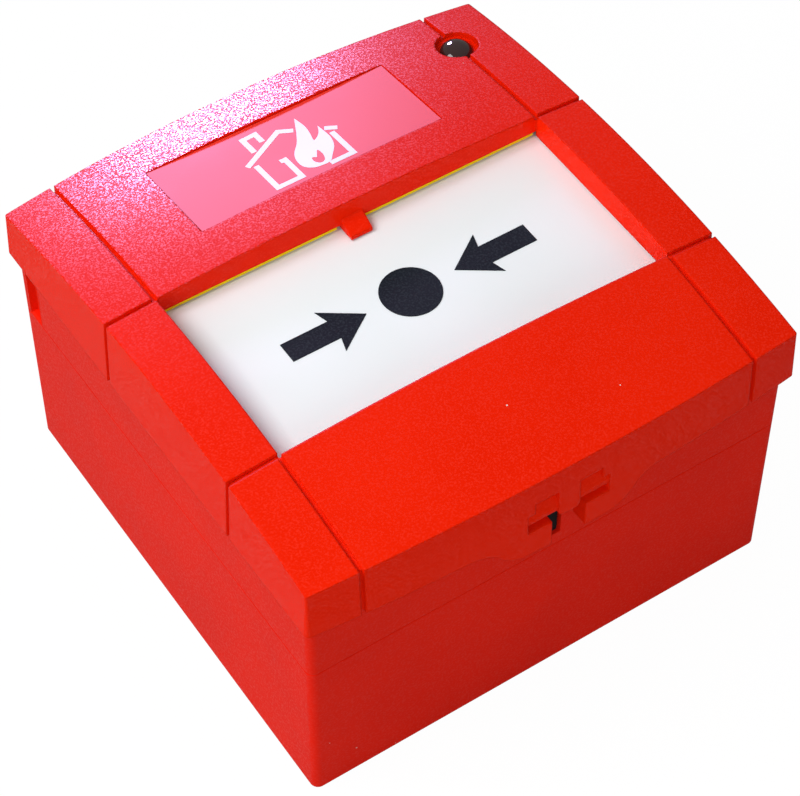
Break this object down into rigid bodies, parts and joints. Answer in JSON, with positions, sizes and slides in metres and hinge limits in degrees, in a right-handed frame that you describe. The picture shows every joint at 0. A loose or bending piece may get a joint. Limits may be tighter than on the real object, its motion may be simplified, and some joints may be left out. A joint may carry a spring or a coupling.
{
  "type": "fire alarm call point",
  "caption": "Surface-mounted manual call point: arched red cover with a white press plate, label panel and indicator, hinged over a moulded chassis on a deep back box.",
  "frame": {"origin": "centre of the back box's rear face, the face that lies on the wall", "axes": "+X to the right across the device, +Y up the wall, +Z out of the wall"},
  "size_m": [0.089, 0.0942, 0.059],
  "materials": {
    "back_box": "fine spark-eroded texture",
    "chassis": "fine spark-eroded texture",
    "front_cover": "fine spark-eroded texture",
    "label_insert": "glossy film",
    "light_guide": "polished, smoky",
    "operating_element": "satin",
    "element_marking": "print",
    "element_springs": "drawn wire",
    "status_flag": "plain",
    "reset_slide": "plain",
    "circuit_board": "solder resist",
    "board_screws": "zinc plated",
    "chassis_screws": "zinc plated",
    "terminal_block": "plain",
    "terminal_clamps": "stamped",
    "terminal_screws": "zinc plated",
    "switch_body": "plain",
    "switch_plunger": "plain",
    "switch_pins": "tinned",
    "alarm_led": "clear red",
    "led_legs": "tinned",
    "line_resistors": "lacquered"
  },
  "bodies": {
    "base": {"back_box": "back_box", "chassis": "chassis", "chassis_screws": "chassis_screws", "circuit_board": "circuit_board", "board_screws": "board_screws", "switch_body": "switch_body", "switch_pins": "switch_pins", "alarm_led": "alarm_led", "led_legs": "led_legs", "terminal_block": "terminal_block", "terminal_clamps": "terminal_clamps", "terminal_screws": "terminal_screws", "line_resistors": "line_resistors", "element_springs": "element_springs"},
    "cover": {"front_cover": "front_cover", "label_insert": "label_insert", "light_guide": "light_guide"},
    "element": {"operating_element": "operating_element", "element_marking": "element_marking"},
    "flag": {"status_flag": "status_flag"},
    "plunger": {"switch_plunger": "switch_plunger"},
    "reset": {"reset_slide": "reset_slide"}
  },
  "joints": [
    {"name": "cover_hinge", "type": "hinge", "parent": "base", "child": "cover", "pos_m": [0, 0.042, 0.0424], "axis": [-1, 0, 0], "range_deg": [0, 70]},
    {"name": "element_press", "type": "hinge", "parent": "base", "child": "element", "pos_m": [0, 0.0155, 0.0504], "axis": [1, 0, 0], "range_deg": [0, 4.5], "stiffness_Nm_per_rad": 2, "springref_deg": -3.44, "deforming": ["element_springs"]},
    {"name": "flag_drop", "type": "slide", "parent": "base", "child": "flag", "axis": [0, -1, 0], "range_m": [0, 0.0045]},
    {"name": "switch_press", "type": "slide", "parent": "base", "child": "plunger", "axis": [0, 0, -1], "range_m": [0, 0.0011]},
    {"name": "reset_push", "type": "slide", "parent": "base", "child": "reset", "axis": [0, 1, 0], "range_m": [0, 0.003]}
  ],
  "couplings": [
    {"joint": "flag_drop", "follows": "element_press", "m_per_rad": 0.0572},
    {"joint": "switch_press", "follows": "element_press", "m_per_rad": 0.014}
  ]
}
